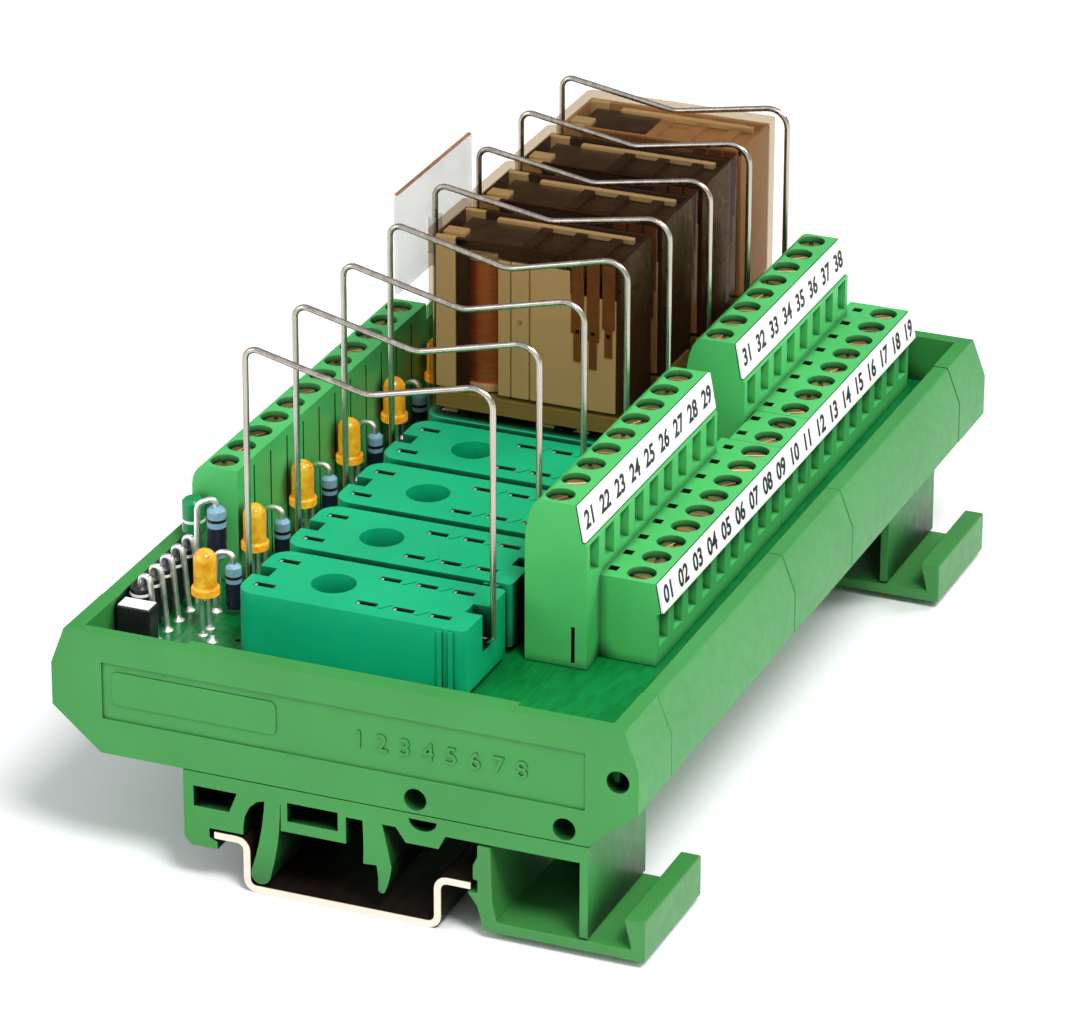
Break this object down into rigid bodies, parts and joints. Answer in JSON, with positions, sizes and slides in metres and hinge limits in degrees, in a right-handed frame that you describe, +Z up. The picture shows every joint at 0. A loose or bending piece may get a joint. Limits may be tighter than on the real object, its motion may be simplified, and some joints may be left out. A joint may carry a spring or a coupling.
{
  "type": "relay module",
  "caption": "Rail-mounted relay module: open green tray with board, plug-in relays under wire clips, screw terminals, status lights and two clip-on rail feet.",
  "frame": {"origin": "centre of the rail's underside", "axes": "+Z up from the rail, +Y along the rail from the front end to the rear end, +X towards the release levers"},
  "size_m": [0.0802, 0.132, 0.0681],
  "materials": {
    "housing_green": "satin moulded plastic",
    "terminal_green": "satin moulded plastic",
    "socket_green": "satin moulded plastic",
    "board_green": "glossy solder resist",
    "rail_steel": "zinc plated",
    "spring_wire": "drawn spring wire",
    "relay_base": "satin",
    "smoked_cover": "clear smoked plastic",
    "copper": "enamelled wire winding",
    "contact_metal": "bare",
    "clear_sheet": "clear",
    "label_white": "matt",
    "lens_yellow": "translucent"
  },
  "bodies": {
    "rail": {"mounting_rail": "rail_steel"},
    "module": {"side_element_front": "housing_green", "side_element_rear": "housing_green", "base_element_front": "housing_green", "base_element_middle": "housing_green", "base_element_rear": "housing_green", "circuit_board": "board_green", "rail_foot_front": "housing_green", "rail_foot_rear": "housing_green", "terminal_block_front": "terminal_green", "terminal_block_middle": "terminal_green", "terminal_block_rear": "terminal_green", "terminal_block_left": "terminal_green", "label_strip_lower": "label_white", "label_strip_upper_front": "label_white", "label_strip_upper_rear": "label_white", "relay_socket_1": "socket_green", "relay_socket_2": "socket_green", "relay_socket_3": "socket_green", "relay_socket_4": "socket_green", "relay_socket_5": "socket_green", "relay_socket_6": "socket_green", "relay_socket_7": "socket_green", "relay_socket_8": "socket_green", "status_light_1": "lens_yellow", "status_light_2": "lens_yellow", "status_light_3": "lens_yellow", "status_light_4": "lens_yellow", "status_light_5": "lens_yellow", "status_light_6": "lens_yellow", "status_light_7": "lens_yellow", "status_light_8": "lens_yellow"},
    "foot_latch_front": {"foot_latch_front": "housing_green"},
    "foot_latch_rear": {"foot_latch_rear": "housing_green"},
    "relay_5": {"relay_5_base": "relay_base", "relay_5_cover": "smoked_cover", "relay_5_coil": "copper", "relay_5_contacts": "contact_metal"},
    "relay_6": {"relay_6_base": "relay_base", "relay_6_cover": "smoked_cover", "relay_6_coil": "copper", "relay_6_contacts": "contact_metal"},
    "relay_7": {"relay_7_base": "relay_base", "relay_7_cover": "smoked_cover", "relay_7_coil": "copper", "relay_7_contacts": "contact_metal"},
    "relay_8": {"relay_8_base": "relay_base", "relay_8_cover": "smoked_cover", "relay_8_coil": "copper", "relay_8_contacts": "contact_metal"},
    "clip_1": {"retaining_clip_1": "spring_wire"},
    "clip_2": {"retaining_clip_2": "spring_wire"},
    "clip_3": {"retaining_clip_3": "spring_wire"},
    "clip_4": {"retaining_clip_4": "spring_wire"},
    "clip_5": {"retaining_clip_5": "spring_wire", "marker_sheet": "clear_sheet"},
    "clip_6": {"retaining_clip_6": "spring_wire"},
    "clip_7": {"retaining_clip_7": "spring_wire"},
    "clip_8": {"retaining_clip_8": "spring_wire"}
  },
  "joints": [
    {"name": "rail_slide", "type": "slide", "parent": "rail", "child": "module", "axis": [0, 1, 0], "range_m": [-0.015, 0.015]},
    {"name": "foot_latch_front_release", "type": "slide", "parent": "module", "child": "foot_latch_front", "axis": [1, 0, 0], "range_m": [0, 0.002], "stiffness_N_per_m": 1500},
    {"name": "foot_latch_rear_release", "type": "slide", "parent": "module", "child": "foot_latch_rear", "axis": [1, 0, 0], "range_m": [0, 0.002], "stiffness_N_per_m": 1500},
    {"name": "relay_5_unplug", "type": "slide", "parent": "module", "child": "relay_5", "axis": [0, 0, 1], "range_m": [0, 0.015]},
    {"name": "relay_6_unplug", "type": "slide", "parent": "module", "child": "relay_6", "axis": [0, 0, 1], "range_m": [0, 0.015]},
    {"name": "relay_7_unplug", "type": "slide", "parent": "module", "child": "relay_7", "axis": [0, 0, 1], "range_m": [0, 0.015]},
    {"name": "relay_8_unplug", "type": "slide", "parent": "module", "child": "relay_8", "axis": [0, 0, 1], "range_m": [0, 0.015]},
    {"name": "clip_1_swing", "type": "hinge", "parent": "module", "child": "clip_1", "pos_m": [-0.0038, -0.0478, 0.0316], "axis": [1, 0, 0], "range_deg": [-11, 80]},
    {"name": "clip_2_swing", "type": "hinge", "parent": "module", "child": "clip_2", "pos_m": [-0.0038, -0.0329, 0.0316], "axis": [1, 0, 0], "range_deg": [-11, 11]},
    {"name": "clip_3_swing", "type": "hinge", "parent": "module", "child": "clip_3", "pos_m": [-0.0038, -0.018, 0.0316], "axis": [1, 0, 0], "range_deg": [-11, 11]},
    {"name": "clip_4_swing", "type": "hinge", "parent": "module", "child": "clip_4", "pos_m": [-0.0038, -0.0031, 0.0316], "axis": [1, 0, 0], "range_deg": [-11, 11]},
    {"name": "clip_5_swing", "type": "hinge", "parent": "relay_5", "child": "clip_5", "pos_m": [-0.0038, 0.0118, 0.0316], "axis": [1, 0, 0], "range_deg": [-11, 11]},
    {"name": "clip_6_swing", "type": "hinge", "parent": "relay_6", "child": "clip_6", "pos_m": [-0.0038, 0.0267, 0.0316], "axis": [1, 0, 0], "range_deg": [-11, 11]},
    {"name": "clip_7_swing", "type": "hinge", "parent": "relay_7", "child": "clip_7", "pos_m": [-0.0038, 0.0416, 0.0316], "axis": [1, 0, 0], "range_deg": [-11, 11]},
    {"name": "clip_8_swing", "type": "hinge", "parent": "relay_8", "child": "clip_8", "pos_m": [-0.0038, 0.0565, 0.0316], "axis": [1, 0, 0], "range_deg": [-80, 11]}
  ]
}
